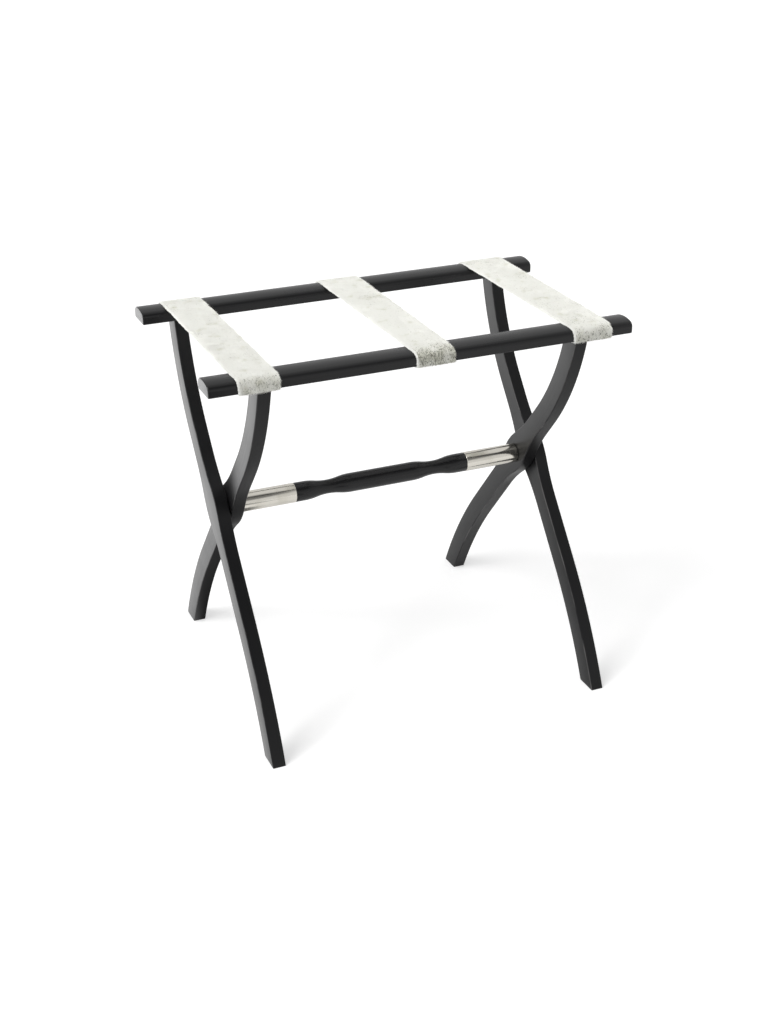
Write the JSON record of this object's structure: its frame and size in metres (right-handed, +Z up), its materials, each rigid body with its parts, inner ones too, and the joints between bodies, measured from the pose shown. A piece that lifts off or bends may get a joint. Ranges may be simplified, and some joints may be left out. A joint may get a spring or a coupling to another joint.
{
  "type": "hotel luggage bench",
  "caption": "Folding luggage bench: domed rails on crossed ogee legs with a turned handle rod, and hide straps across the rails to carry a case.",
  "frame": {"origin": "on the floor, at the middle of the open bench", "axes": "+X along the rails to the right, +Y to the rear, +Z up"},
  "size_m": [0.61, 0.4632, 0.5487],
  "materials": {
    "black_lacquered_wood": "black satin lacquer over close-grained hardwood",
    "polished_nickel": "polished nickel plate on drawn tube",
    "hair_on_hide": "hair-on hide, off-white with grey speckle, flesh side suede",
    "blued_steel": "blued cut tacks",
    "bronze": "plain sintered bronze",
    "zinc_plated_steel": "zinc plated",
    "beech": "planed beech, unfinished"
  },
  "bodies": {
    "outer_frame": {"rear_rail": "black_lacquered_wood", "outer_leg_left": "black_lacquered_wood", "outer_leg_right": "black_lacquered_wood", "pivot_bush_left": "bronze", "pivot_bush_right": "bronze", "loose_tenon_rear_left": "beech", "loose_tenon_rear_right": "beech", "strap_left": "hair_on_hide", "strap_middle": "hair_on_hide", "strap_right": "hair_on_hide", "strap_tacks_rear_left": "blued_steel", "strap_tacks_rear_middle": "blued_steel", "strap_tacks_rear_right": "blued_steel"},
    "inner_frame": {"front_rail": "black_lacquered_wood", "inner_leg_left": "black_lacquered_wood", "inner_leg_right": "black_lacquered_wood", "handle_rod": "black_lacquered_wood", "sleeve_left": "polished_nickel", "sleeve_right": "polished_nickel", "pivot_pin_left": "zinc_plated_steel", "pivot_pin_right": "zinc_plated_steel", "loose_tenon_front_left": "beech", "loose_tenon_front_right": "beech", "strap_tacks_front_left": "blued_steel", "strap_tacks_front_middle": "blued_steel", "strap_tacks_front_right": "blued_steel"}
  },
  "joints": [
    {"name": "fold", "type": "hinge", "parent": "outer_frame", "child": "inner_frame", "pos_m": [0, 0, 0.294], "axis": [-1, 0, 0], "range_deg": [0, 53], "deforming": ["strap_left", "strap_middle", "strap_right"]}
  ]
}
